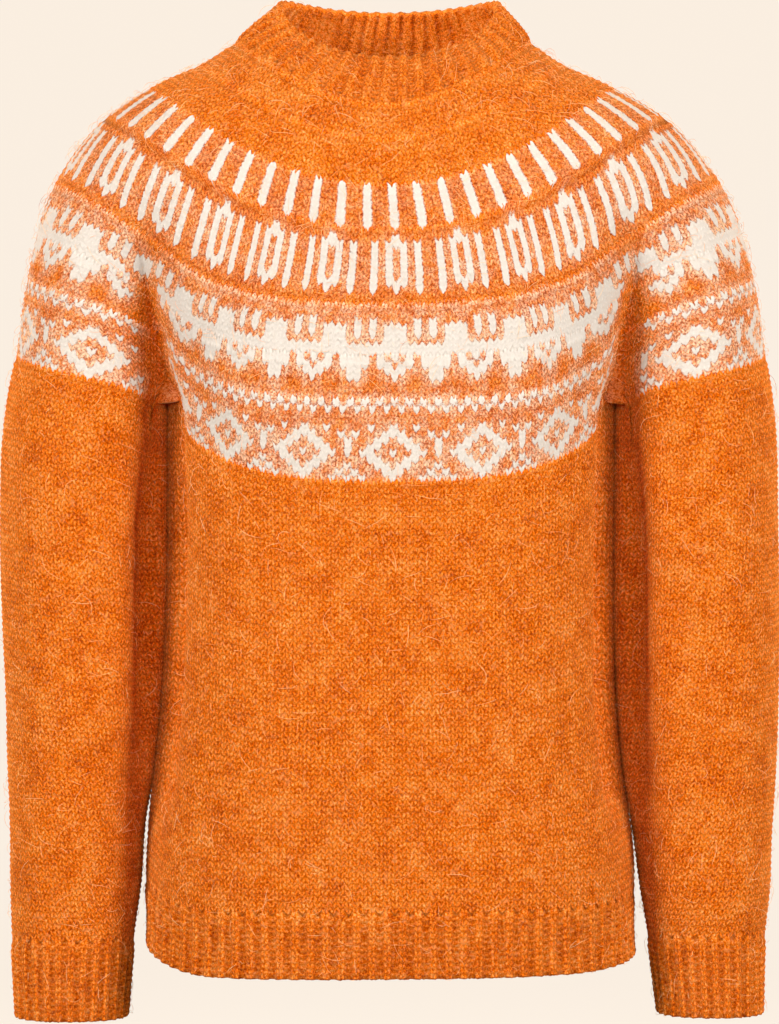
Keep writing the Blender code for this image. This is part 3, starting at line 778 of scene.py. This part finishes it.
def yoke_ring(path):
    """One ring of the yoke: round at the neck, and divided into body and sleeves at its lower edge."""
    row = YokeRow(path, *(float(follow(YOKE, name, path)) for name in YokeRow._fields[1:]))
    share = row.crease * 0.25
    t = np.linspace(0.0, 1.0, ARC_STEPS + 1)
    starts = (-share, share, 0.5 - share, 0.5 + share)
    ends = (share, 0.5 - share, 0.5 + share, 1.0 - share)
    turns = np.concatenate([(start + (end - start) * t)[:-1] for start, end in zip(starts, ends)])
    smooth = smooth_ring(row, row.fullness, turns)
    divided = float(ease((path - LOBE_FROM) / (1.0 - LOBE_FROM)))
    return smooth + divided * (divided_ring(row, t) - smooth)


def yoke_share(turn, path):
    """The share of the way across the yoke's form at a turn, as its four arcs change size down the yoke."""
    crease = follow(YOKE, "crease", path) * 0.25
    turn = (turn + crease) % 1.0
    limits = (0 * crease, 2 * crease, 0.5 + 0 * crease, 0.5 + 2 * crease, 1.0 + 0 * crease)
    share = np.zeros_like(turn)
    for number in range(4):
        low, high = limits[number], limits[number + 1]
        share = np.where(turn >= low, (number + np.clip((turn - low) / (high - low), 0, 1)) / 4, share)
    return share


def hang(across, path, band):
    """The turn and the path at which a band's stitches come to lie on the yoke."""
    turn = across / band.stitches + np.interp(path, LEAN_PATHS, LEAN)
    turn = (turn + 0.5) % 1.0 - 0.5
    far = np.abs(turn)
    by_path = [np.interp(far, CROWD_TURNS, row) for row in CROWD]
    level = np.clip(np.searchsorted(CROWD_PATHS, path, side="right") - 1, 0, len(CROWD_PATHS) - 2)
    crowd = np.zeros_like(far)
    for number, (start, end) in enumerate(zip(CROWD_PATHS, CROWD_PATHS[1:])):
        share = (path - start) / (end - start)
        mixed = by_path[number] + share * (by_path[number + 1] - by_path[number])
        crowd = np.where(level == number, mixed, crowd)
    sag = np.interp(path, SAG_PATHS, SAG) * np.interp(np.minimum(far, 0.5 - far), SAG_TURNS, SAG_SHARES)
    return np.sign(turn) * (far - crowd), path + sag


def band_chart(band, start, end):
    """Which stitches of a band are white. Next to the armpit creases the lower bands are plain."""
    white = np.zeros((band.rows, band.stitches))
    columns = np.arange(band.stitches) - band.stitches // 2
    for first_row, chart in band.charts:
        for number, line in enumerate(chart):
            white[first_row + number] = [line[column % len(line)] == "#" for column in columns]
    paths = start + (end - start) * (np.arange(band.rows) + 0.5) / band.rows
    for number, path in enumerate(paths):
        share = yoke_share(*hang(columns, np.full(band.stitches, path), band)) * 4
        is_sleeve = share.astype(int) % 2 == 1
        from_crease = np.minimum(share % 1.0, 1.0 - share % 1.0)
        beside = from_crease < np.where(is_sleeve, PLAIN_ON_SLEEVE, PLAIN_ON_BODY)
        white[number, beside & (path > PLAIN_FROM_PATH)] = 0
    return white


Fold = namedtuple("Fold", "start end width rise")


def mirrored_folds(folds):
    """The folds as given for the viewer's right, and the same ones on the left."""
    for fold in folds:
        yield fold
        yield Fold((-fold.start[0], *fold.start[1:]), (-fold.end[0], *fold.end[1:]), fold.width, fold.rise)


# Soft folds of the filled-out garment, a rise below 0 being a trough. They run on from piece to piece, and
# fade out where the sleeves touch the body.
TOUCH_DEPTH = 0.010
FOLD_FADE = 0.022
FOLDS = tuple(
    mirrored_folds(
        (
            Fold((0.176, -0.062, -0.185), (0.166, -0.056, -0.262), 0.014, -0.0030),
            Fold((0.164, -0.047, -0.262), (0.165, -0.046, -0.530), 0.022, -0.0260),
            Fold((0.168, -0.050, -0.470), (0.182, -0.050, -0.600), 0.024, -0.0070),
            Fold((0.167, 0.052, -0.285), (0.172, 0.052, -0.560), 0.028, -0.0090),
            Fold((0.165, -0.085, -0.215), (0.120, -0.118, -0.300), 0.014, -0.0030),
            Fold((0.170, -0.070, -0.270), (0.150, -0.100, -0.420), 0.012, -0.0035),
            Fold((0.150, 0.090, -0.215), (0.110, 0.110, -0.320), 0.015, -0.0032),
            Fold((0.168, 0.075, -0.270), (0.145, 0.100, -0.430), 0.013, -0.0035),
            Fold((0.195, -0.060, -0.265), (0.235, -0.070, -0.370), 0.012, -0.0030),
            Fold((0.190, -0.045, -0.330), (0.225, -0.066, -0.450), 0.012, -0.0028),
            Fold((0.200, 0.060, -0.270), (0.245, 0.068, -0.400), 0.014, -0.0032),
            Fold((0.190, -0.035, -0.500), (0.245, -0.068, -0.530), 0.010, -0.0024),
            Fold((0.195, 0.040, -0.480), (0.250, 0.046, -0.560), 0.012, -0.0028),
            Fold((0.060, -0.119, -0.430), (0.105, -0.116, -0.640), 0.022, 0.0022),
            Fold((0.130, -0.105, -0.480), (0.150, -0.100, -0.650), 0.016, -0.0022),
            Fold((0.055, 0.112, -0.420), (0.095, 0.110, -0.650), 0.024, 0.0024),
            Fold((0.010, 0.114, -0.330), (0.020, 0.112, -0.600), 0.026, -0.0022),
        )
    )
)


def drape(points):
    """How far the folds lift the cloth or let it sink, at each point."""
    lift = np.zeros(len(points))
    for fold in FOLDS:
        start, end = np.array(fold.start), np.array(fold.end)
        along = (points - start) @ (end - start) / ((end - start) @ (end - start))
        nearest = start + np.clip(along, 0, 1)[:, None] * (end - start)
        off = np.linalg.norm(points - nearest, axis=1) / fold.width
        lift += fold.rise * np.exp(-(off**2)) * (0.35 + 0.65 * np.sin(math.pi * np.clip(along, 0.08, 0.92)))
    return lift * ease((np.abs(points[:, 1]) - TOUCH_DEPTH) / FOLD_FADE)


def join_pieces(name, pieces):
    """Joins the bands of one piece into one mesh."""
    bm = bmesh.new()
    for piece in pieces:
        bm.from_mesh(piece.data)
        bpy.data.objects.remove(piece)
    mesh = bpy.data.meshes.new(name)
    bm.to_mesh(mesh)
    bm.free()
    mesh.shade_smooth()
    return show(name, mesh)


yoke_wool = wool("yoke_wool", pale=0.08, has_pattern=True)
yoke_form = np.array([yoke_ring(path) for path in np.linspace(0.0, 1.0, YOKE_RINGS)])
yoke_rows = sum(band.rows for band in UPPER_BANDS + LOWER_BANDS)
worked = 0
for yoke_piece, bands in (("yoke_upper_knit", UPPER_BANDS), ("yoke_lower_knit", LOWER_BANDS)):
    first_ring = round(worked / yoke_rows * (YOKE_RINGS - 1))
    knitted = []
    for band in bands:
        start, end = worked / yoke_rows, (worked + band.rows) / yoke_rows

        def place_band(across, down, band=band, start=start, end=end):
            path = start + (end - start) * down / band.rows
            turn, path = hang(across - band.stitches // 2 - 0.5, path, band)
            return yoke_share(turn, path), path

        knitted.append(
            knit(
                "yoke_" + band.name, yoke_form, True, place_band, band.stitches, band.rows, CLOTH,
                lining_cells=YOKE_LINING, chart=band_chart(band, start, end), mist=band.mist, drape=drape,
                seed=20 + worked,
            )
        )
        worked += band.rows
    last_ring = round(worked / yoke_rows * (YOKE_RINGS - 1))
    yoke = join_pieces(yoke_piece, knitted)
    finish_knitting(
        yoke, yoke_wool, ["yoke"], yoke_form[first_ring : last_ring + 1], True,
        drape=drape, fibres=FIBRES_ON_YOKE, seed=20 + worked,
    )


# The body: a front and a back in plain stockinette, which run on from the yoke's lower edge and meet at the
# side seams and along the underarms. Its sides swell a little towards the hips.
BODY_STITCHES = 90
BODY_ROWS = 72
BODY_LINING = 8
PANEL_COLUMNS = 65
PANEL_LEVELS = 25
HEM_DEPTH = 0.048
HEM_LEVEL = -0.6725
HEM_TILT = 0.002
HEM_LIFT_LEFT = 0.018
HEM_LIFT_RIGHT = 0.005
HEM_LIFT_FROM = 0.52

BodyRow = namedtuple("BodyRow", "fall left right front_y back_y")
BODY = (
    BodyRow(0.200, 0.1690, 0.1690, 0.1255, 0.1155),
    BodyRow(0.312, 0.1690, 0.1690, 0.1250, 0.1150),
    BodyRow(0.400, 0.1700, 0.1685, 0.1230, 0.1150),
    BodyRow(0.477, 0.1740, 0.1695, 0.1210, 0.1140),
    BodyRow(0.538, 0.1800, 0.1755, 0.1190, 0.1120),
    BodyRow(0.580, 0.1835, 0.1820, 0.1175, 0.1105),
    BodyRow(0.610, 0.1845, 0.1835, 0.1165, 0.1100),
    BodyRow(0.640, 0.1825, 0.1815, 0.1155, 0.1095),
    BodyRow(0.680, 0.1850, 0.1840, 0.1145, 0.1095),
)


def body_section(fall, shares, signs, depth_column):
    """Points of the body's front or back at one level, at shares of each quarter."""
    half_width = np.where(signs < 0, follow(BODY, "left", fall), follow(BODY, "right", fall))
    depth = follow(BODY, depth_column, fall)
    x, y = np.vectorize(quarter_arc)(half_width, depth, BODY_FULLNESS, shares)
    return signs * x, (-y if depth_column == "front_y" else y)


def body_side(y, fall, side):
    """How far out the body's left or right side reaches at a depth and a level."""
    half_width = follow(BODY, side, fall)
    depth = np.where(y < 0, follow(BODY, "front_y", fall), follow(BODY, "back_y", fall))
    inside = np.clip(1.0 - np.abs(y / depth) ** BODY_FULLNESS, 0.0, 1.0)
    return half_width * inside ** (1.0 / BODY_FULLNESS)


def hem_lift(signs, shares):
    """The hem rises towards the side seams, the viewer's left one more."""
    near_side = ease((shares - HEM_LIFT_FROM) / (1.0 - HEM_LIFT_FROM))
    return np.where(signs < 0, HEM_LIFT_LEFT, HEM_LIFT_RIGHT) * near_side + HEM_TILT * signs * shares


def panel_grid(depth_column, top, bottom, levels):
    """The form of a front or back between two edges, its columns running so that it faces outwards."""
    t = np.linspace(-1.0, 1.0, PANEL_COLUMNS)
    signs = np.where(t < 0, -1.0, 1.0)
    grid = []
    for down in np.linspace(0.0, 1.0, levels):
        z = top + (bottom - top) * down
        x, y = body_section(-z, np.abs(t), signs, depth_column)
        grid.append(np.stack([x, y, z], axis=1))
    grid = np.array(grid)
    return grid if depth_column == "front_y" else grid[:, ::-1]


def panel_edges(depth_column):
    """The upper edge of a front or back, level along the underarms, and the edge where its hem starts."""
    t = np.linspace(-1.0, 1.0, PANEL_COLUMNS)
    middle_z = YOKE[-1].front_z if depth_column == "front_y" else YOKE[-1].back_z
    top = chest_height(YOKE[-1], middle_z, np.clip(t / BODY_CREASE, -1, 1))
    return top, HEM_LEVEL + HEM_DEPTH + hem_lift(np.where(t < 0, -1.0, 1.0), np.abs(t))


def place_evenly(stitches, rows):
    return lambda across, down: (across / stitches, down / rows)


main_wool = wool("main_wool")
for panel, depth_column, seed in (("body_front", "front_y", 31), ("body_back", "back_y", 32)):
    top, bottom = panel_edges(depth_column)
    body_form = panel_grid(depth_column, top, bottom, PANEL_LEVELS)
    body = knit(
        panel + "_knit", body_form, False, place_evenly(BODY_STITCHES, BODY_ROWS), BODY_STITCHES, BODY_ROWS,
        CLOTH, lining_cells=BODY_LINING, drape=drape, seed=seed,
    )
    finish_knitting(
        body, main_wool, [panel], body_form, False, drape=drape, seed=seed + 2
    )


# The hem: one-by-one rib on the front and on the back, picked up from the body and bound off in rib.
# The front and back bands meet at the side seams.
HEM_STITCHES = 90
HEM_ROWS = 11
HEM_LINING = 2
HEM_LEVELS = 5

for panel, depth_column, seed in (("hem_rib_front", "front_y", 41), ("hem_rib_back", "back_y", 42)):
    _, top = panel_edges(depth_column)
    hem_form = panel_grid(depth_column, top, top - HEM_DEPTH, HEM_LEVELS)
    hem = knit(
        panel + "_knit", hem_form, False, place_evenly(HEM_STITCHES, HEM_ROWS), HEM_STITCHES, HEM_ROWS,
        RIB_CLOTH, HEM_LINING, ribbed=True, low_edge="bound", drape=drape, seed=seed,
    )
    finish_knitting(
        hem, rib_wool, [panel], hem_form, False, drape=drape, seed=seed + 2
    )


# The sleeves: tapered tubes of plain stockinette, decreased along the underarm down to the cuff. They lie
# against the body at the top and hang a little forward below the elbow.
SLEEVE_STITCHES = 80
SLEEVE_ROWS = 96
SLEEVE_LINING = 8
SLEEVE_LEVELS = 33
SLEEVE_COLUMNS = 64
CUFF_DEPTH = 0.060
UNDERARM_STEPS = 12
UNDERARM_GAP = 0.0004
UNDERARM_FADE = 0.16

SleeveRow = namedtuple("SleeveRow", "fall outer inner half_depth centre_y")
SLEEVES = {
    "right": (
        SleeveRow(0.207, 0.2820, 0.1620, 0.072, 0.000),
        SleeveRow(0.234, 0.2872, 0.1625, 0.072, 0.000),
        SleeveRow(0.264, 0.2905, 0.1630, 0.071, 0.000),
        SleeveRow(0.340, 0.2925, 0.1650, 0.069, -0.001),
        SleeveRow(0.416, 0.2935, 0.1680, 0.064, -0.003),
        SleeveRow(0.480, 0.2923, 0.1711, 0.060, -0.006),
        SleeveRow(0.535, 0.2898, 0.1763, 0.054, -0.010),
        SleeveRow(0.580, 0.2865, 0.1840, 0.049, -0.013),
        SleeveRow(0.617, 0.2852, 0.1888, 0.045, -0.015),
        SleeveRow(0.653, 0.2807, 0.1947, 0.038, -0.018),
        SleeveRow(0.710, 0.2783, 0.2019, 0.034, -0.022),
    ),
    "left": (
        SleeveRow(0.207, 0.2820, 0.1620, 0.072, 0.000),
        SleeveRow(0.234, 0.2885, 0.1625, 0.072, 0.000),
        SleeveRow(0.264, 0.2925, 0.1630, 0.071, 0.000),
        SleeveRow(0.340, 0.2955, 0.1660, 0.069, -0.001),
        SleeveRow(0.416, 0.2935, 0.1690, 0.064, -0.003),
        SleeveRow(0.480, 0.2903, 0.1730, 0.060, -0.006),
        SleeveRow(0.526, 0.2890, 0.1785, 0.055, -0.009),
        SleeveRow(0.562, 0.2870, 0.1855, 0.051, -0.012),
        SleeveRow(0.617, 0.2863, 0.1898, 0.045, -0.014),
        SleeveRow(0.653, 0.2848, 0.1947, 0.039, -0.017),
        SleeveRow(0.713, 0.2811, 0.1997, 0.034, -0.021),
    ),
}


def sleeve_section(table, fall, angle):
    """Points of a right-hand sleeve at one level. Angle 0 faces the body, a quarter turn the front."""
    outer = follow(table, "outer", fall)
    inner = follow(table, "inner", fall)
    across, along = oval(angle)
    x = (outer + inner) / 2 - across * (outer - inner) / 2
    return x, follow(table, "centre_y", fall) - along * follow(table, "half_depth", fall)


def sleeve_top(arc_t, under_t):
    """The upper edge of a right-hand sleeve: the yoke's edge, then along the underarm beside the body."""
    x, y = lobe_arc(YOKE[-1], arc_t)
    arc = np.stack([x, y, lobe_height(YOKE[-1], arc_t)], axis=1)
    shares = 1.0 - np.abs(2 * under_t - 1) * (1.0 - BODY_CREASE)
    back_x, back_y = body_section(-CREASE_LEVEL, shares, 1.0, "back_y")
    front_x, front_y = body_section(-CREASE_LEVEL, shares, 1.0, "front_y")
    is_back = under_t < 0.5
    x = np.where(is_back, back_x, front_x) + UNDERARM_GAP
    y = np.where(is_back, back_y, front_y) * (np.abs(under_t - 0.5) > 1e-6)
    return np.concatenate([arc, np.stack([x, y, np.full(len(x), CREASE_LEVEL)], axis=1)])


def evenly_round(ring, first):
    """Spaces a ring's points evenly round it, starting from one of them, and gives its length."""
    ring = np.roll(ring, -first, axis=0)
    ring = np.concatenate([ring, ring[:1]])
    run = np.concatenate([[0.0], np.cumsum(np.linalg.norm(np.diff(ring, axis=0), axis=1))])
    at = np.arange(SLEEVE_COLUMNS) / SLEEVE_COLUMNS * run[-1]
    return np.stack([np.interp(at, run, ring[:, axis]) for axis in range(3)], axis=1), run[-1]


def face_side(form, side):
    """Mirrors a right-hand form to the viewer's left, keeping its columns in the same round order."""
    if side == "right":
        return form
    mirrored = np.roll(form[:, ::-1], 1, axis=1)
    mirrored[..., 0] *= -1.0
    return mirrored


def sleeve_grid(side):
    """A sleeve's form and the length of each of its rings, its first column along the underarm."""
    table = SLEEVES[side]
    arc_t = np.linspace(0.0, 1.0, 2 * ARC_STEPS + 1)
    under_t = np.linspace(0.0, 1.0, UNDERARM_STEPS + 1)[1:-1]
    under = 2 * math.pi - CREASE_ANGLE + 2 * CREASE_ANGLE * under_t
    angles = np.concatenate([CREASE_ANGLE + arc_t * (2 * math.pi - 2 * CREASE_ANGLE), under])
    top = sleeve_top(arc_t, under_t)
    bottom = -table[-1].fall + CUFF_DEPTH
    top_x, top_y = sleeve_section(table, -top[:, 2], angles)
    grid, lengths = [], []
    for down in np.linspace(0.0, 1.0, SLEEVE_LEVELS):
        z = top[:, 2] + (bottom - top[:, 2]) * down
        x, y = sleeve_section(table, -z, angles)
        settled = ease(down / UNDERARM_FADE)
        x = x + (top[:, 0] - top_x) * (1.0 - settled)
        y = y + (top[:, 1] - top_y) * (1.0 - settled)
        if down > 0:
            x = np.maximum(x, body_side(y, -z, side) + UNDERARM_GAP * (1.0 - settled))
        ring, length = evenly_round(np.stack([x, y, z], axis=1), len(arc_t) + UNDERARM_STEPS // 2 - 1)
        grid.append(ring)
        lengths.append(length)
    return face_side(np.array(grid), side), np.array(lengths)


for side, seed in (("right", 51), ("left", 52)):
    sleeve_form, ring_lengths = sleeve_grid(side)

    def place_sleeve(across, down, ring_lengths=ring_lengths):
        share = down / SLEEVE_ROWS
        length = np.interp(share, np.linspace(0.0, 1.0, SLEEVE_LEVELS), ring_lengths)
        turn = (across / SLEEVE_STITCHES - 0.5) * ring_lengths.max() / length
        return np.clip(turn, -0.5, 0.5) + 0.5, share

    sleeve = knit(
        f"sleeve_{side}_knit", sleeve_form, True, place_sleeve, SLEEVE_STITCHES, SLEEVE_ROWS, CLOTH,
        lining_cells=SLEEVE_LINING, drape=drape, tapers=True, seed=seed,
    )
    finish_knitting(
        sleeve, main_wool, ["sleeve_" + side], sleeve_form, True,
        drape=drape, seed=seed + 2,
    )


# The cuffs: one-by-one rib in the round, in the same wool, picked up from the sleeve's lower edge and
# gathered in. They are bound off loosely at the wrist.
CUFF_STITCHES = 56
CUFF_ROWS = 13
CUFF_LINING = 2
CUFF_LEVELS = 5

for side, seed in (("right", 61), ("left", 62)):
    table = SLEEVES[side]
    angles = np.linspace(0.0, 2 * math.pi, 4 * ARC_STEPS + 1)[:-1]
    rings = []
    for down in np.linspace(0.0, 1.0, CUFF_LEVELS):
        z = np.full(len(angles), CUFF_DEPTH * (1 - down) - table[-1].fall)
        x, y = sleeve_section(table, -z, angles)
        rings.append(evenly_round(np.stack([x, y, z], axis=1), 0)[0])
    cuff_form = face_side(np.array(rings), side)
    cuff = knit(
        f"cuff_{side}_knit", cuff_form, True, place_evenly(CUFF_STITCHES, CUFF_ROWS), CUFF_STITCHES,
        CUFF_ROWS, RIB_CLOTH, CUFF_LINING, ribbed=True, low_edge="bound", seed=seed,
    )
    finish_knitting(cuff, rib_wool, ["cuff_" + side], cuff_form, True, seed=seed + 2)


# The floor and its surround: plain cream paper, level under the garment where a wearer would stand and
# curved up all round it.
FLOOR_LEVEL = -1.40
FLOOR_RADIUS = 5.0
SURROUND_HEIGHT = 6.0
SURROUND_CURVE = 2.0
CURVE_STEPS = 12
FLOOR_STEPS = 96
PAPER = {
    "Base Color": (0.12, 0.105, 0.09, 1.0),
    "Emission Color": (0.973, 0.871, 0.761, 1.0),
    "Emission Strength": 0.94,
    "Roughness": 1.0,
    "Specular IOR Level": 0.0,
}

bm = bmesh.new()
profile = [Vector((0.0, 0.0, FLOOR_LEVEL)), Vector((FLOOR_RADIUS, 0.0, FLOOR_LEVEL))]
for step in range(1, CURVE_STEPS + 1):
    angle = math.pi / 2 * step / CURVE_STEPS
    out = FLOOR_RADIUS + SURROUND_CURVE * math.sin(angle)
    profile.append(Vector((out, 0.0, FLOOR_LEVEL + SURROUND_CURVE * (1 - math.cos(angle)))))
profile.append(Vector((FLOOR_RADIUS + SURROUND_CURVE, 0.0, FLOOR_LEVEL + SURROUND_HEIGHT)))
corners = [bm.verts.new(point) for point in profile]
edges = [bm.edges.new(pair) for pair in zip(corners, corners[1:])]
bmesh.ops.spin(
    bm, geom=corners + edges, cent=(0, 0, 0), axis=(0, 0, 1), angle=2 * math.pi, steps=FLOOR_STEPS,
    use_merge=True,
)
bmesh.ops.remove_doubles(bm, verts=bm.verts, dist=1e-5)
bmesh.ops.recalc_face_normals(bm, faces=bm.faces)
mesh = bpy.data.meshes.new("floor")
bm.to_mesh(mesh)
bm.free()
mesh.shade_smooth()
floor = show("floor", mesh)
mesh.materials.append(new_shader("cream_paper", PAPER)[0])
floor.visible_diffuse = False
floor.visible_shadow = False


# Soft studio light: a softbox in front, one at each side, two behind, and an even pale surround. The side
# ones are the strongest, so the stitches and ribs show their relief.
Softbox = namedtuple("Softbox", "name place size power")
SOFTBOXES = (
    Softbox("front_softbox", (0.0, -3.3, 0.4), 1.0, 44.0),
    Softbox("left_softbox", (-2.6, -2.2, 0.8), 1.0, 113.0),
    Softbox("right_softbox", (2.6, -2.2, 0.8), 1.0, 113.0),
    Softbox("back_left_softbox", (-2.4, 2.4, 0.8), 1.2, 95.0),
    Softbox("back_right_softbox", (2.4, 2.4, 0.8), 1.2, 95.0),
)
AIM = Vector((0.0, 0.0, -0.30))
SURROUND_LIGHT = 0.155

for softbox in SOFTBOXES:
    lamp = bpy.data.lights.new(softbox.name, "AREA")
    lamp.shape = "SQUARE"
    lamp.size = softbox.size
    lamp.energy = softbox.power
    lamp.color = (1.0, 0.985, 0.96)
    holder = show(softbox.name, lamp)
    holder.location = softbox.place
    holder.rotation_euler = (AIM - holder.location).to_track_quat("-Z", "Y").to_euler()
    holder.visible_camera = False

world = bpy.data.worlds.new("surround")
world.use_nodes = True
world.node_tree.nodes["Background"].inputs["Color"].default_value = (1.0, 0.97, 0.93, 1.0)
world.node_tree.nodes["Background"].inputs["Strength"].default_value = SURROUND_LIGHT
bpy.context.scene.world = world
bpy.context.scene.view_settings.view_transform = "Standard"


# The camera: level with the middle of the garment and straight in front of it, with a long lens, so the
# sleeves and the hem hardly narrow with distance.
CAMERA_PLACE = (-0.0011, -2.40, -0.334)
CAMERA_LENS = 111.0

camera_data = bpy.data.cameras.new("camera")
camera_data.lens = CAMERA_LENS
camera = show("camera", camera_data)
camera.location = CAMERA_PLACE
camera.rotation_euler = (math.pi / 2, 0.0, 0.0)
bpy.context.scene.camera = camera
